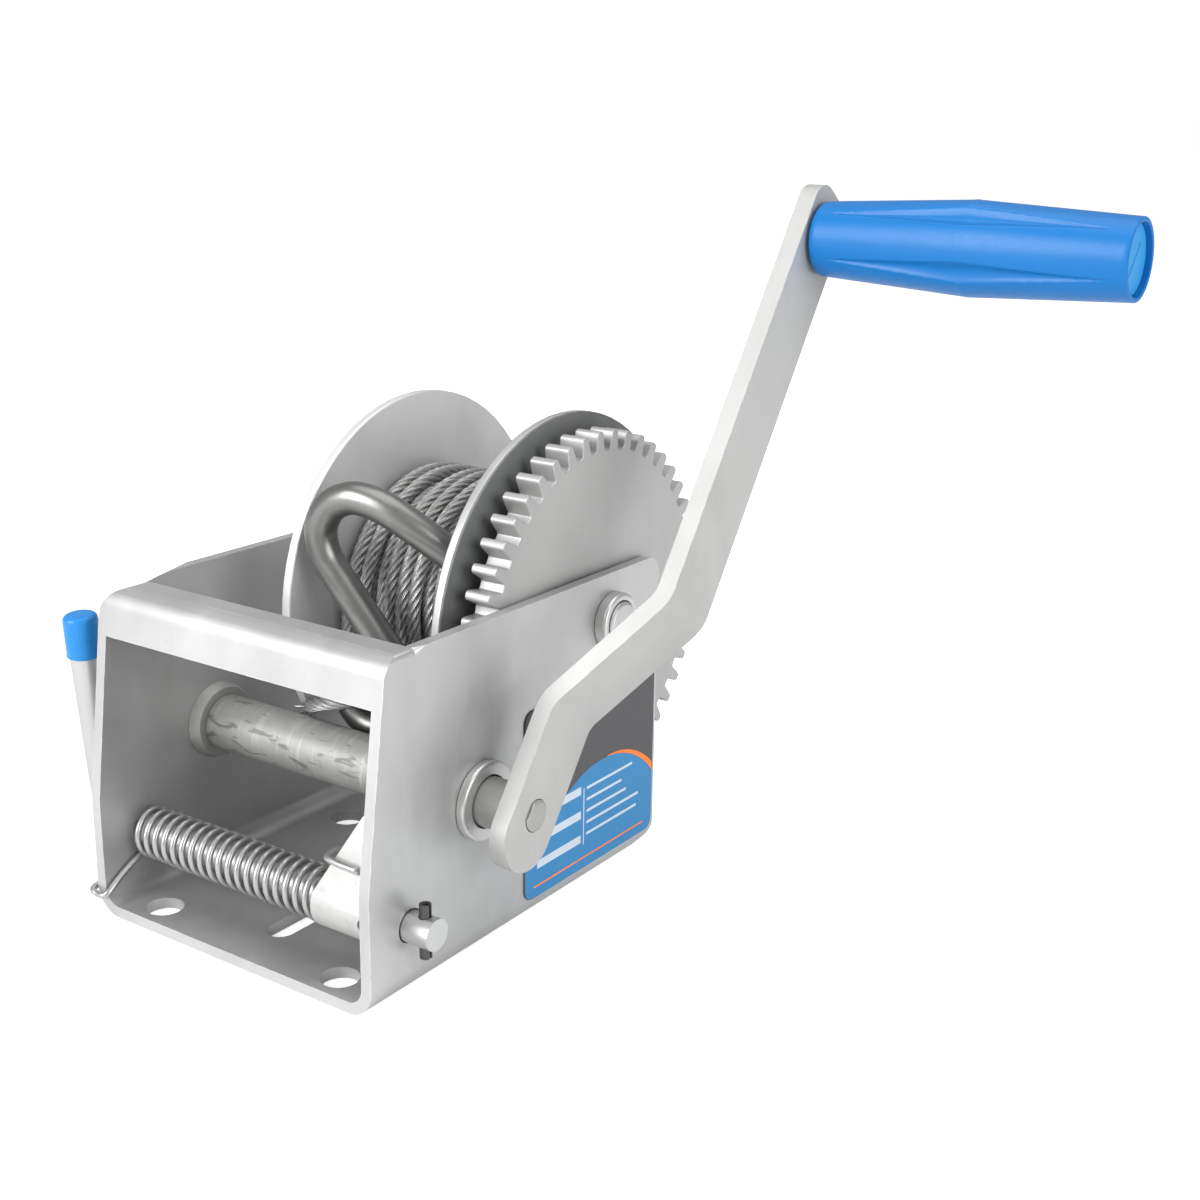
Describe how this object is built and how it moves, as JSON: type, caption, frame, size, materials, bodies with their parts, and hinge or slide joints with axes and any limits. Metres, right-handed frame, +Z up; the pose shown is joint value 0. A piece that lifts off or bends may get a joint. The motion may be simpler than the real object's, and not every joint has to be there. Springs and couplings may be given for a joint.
{
  "type": "boat trailer winch",
  "caption": "Hand-cranked boat trailer winch: folded steel frame, geared cable drum, sprung pawl with lever, cranked handle with blue grip, and cable hook.",
  "frame": {"origin": "centre of the underside of the base, midway along its length", "axes": "+X along the shafts towards the crank handle, +Y from the pawl end to the rear, +Z up"},
  "size_m": [0.2415, 0.1604, 0.1961],
  "materials": {
    "galvanised": "satin",
    "zinc": "semi-gloss",
    "bush_steel": "satin",
    "rope_steel": "satin",
    "spring_steel": "semi-gloss",
    "dark_steel": "satin",
    "blue_plastic": "semi-gloss",
    "label_film": "satin"
  },
  "bodies": {
    "frame": {"frame": "galvanised", "left_crank_bush": "bush_steel", "right_crank_bush": "bush_steel", "left_drum_bush": "bush_steel", "right_drum_bush": "bush_steel", "drum_axle": "zinc", "axle_washer": "zinc", "axle_clip": "dark_steel", "label": "label_film", "pawl_spring": "spring_steel", "rope_tail": "rope_steel"},
    "drum": {"drum_sleeve": "zinc", "drum_barrel": "galvanised", "left_flange": "galvanised", "right_flange": "galvanised", "drum_gear": "galvanised", "rope_winding": "rope_steel", "anchor_rope": "rope_steel", "anchor_plate": "zinc", "anchor_bolt": "zinc", "anchor_nut": "zinc"},
    "crank": {"crank_shaft": "zinc", "pinion": "zinc", "pinion_key": "dark_steel", "crank_washer": "zinc", "crank_clip": "dark_steel", "crank_arm": "galvanised", "grip_spindle": "zinc", "spindle_washer": "zinc"},
    "grip": {"grip": "blue_plastic", "grip_cap": "blue_plastic"},
    "pawl": {"pawl_lever": "zinc", "pawl": "zinc", "pawl_pin": "dark_steel", "end_roll_pin": "dark_steel", "lever_cap": "blue_plastic"},
    "hook": {"hook": "zinc"}
  },
  "joints": [
    {"name": "drum_spin", "type": "hinge", "parent": "frame", "child": "drum", "pos_m": [0, 0.0385, 0.0778], "axis": [1, 0, 0], "continuous": true},
    {"name": "crank_turn", "type": "hinge", "parent": "frame", "child": "crank", "pos_m": [0, -0.01949, 0.04405], "axis": [1, 0, 0], "continuous": true},
    {"name": "grip_spin", "type": "hinge", "parent": "crank", "child": "grip", "pos_m": [0.13, 0.07727, 0.18224], "axis": [1, 0, 0], "continuous": true},
    {"name": "pawl_release", "type": "hinge", "parent": "frame", "child": "pawl", "pos_m": [0, -0.048, 0.0201], "axis": [1, 0, 0], "range_deg": [0, 40], "stiffness_Nm_per_rad": 0.15, "springref_deg": -28.65, "deforming": ["pawl_spring"]},
    {"name": "hook_swing", "type": "hinge", "parent": "frame", "child": "hook", "pos_m": [0.0037, -0.00723, 0.0588], "axis": [1, 0, 0], "range_deg": [0, 25]}
  ],
  "couplings": [
    {"joint": "crank_turn", "follows": "drum_spin", "ratio": -3.0667}
  ]
}
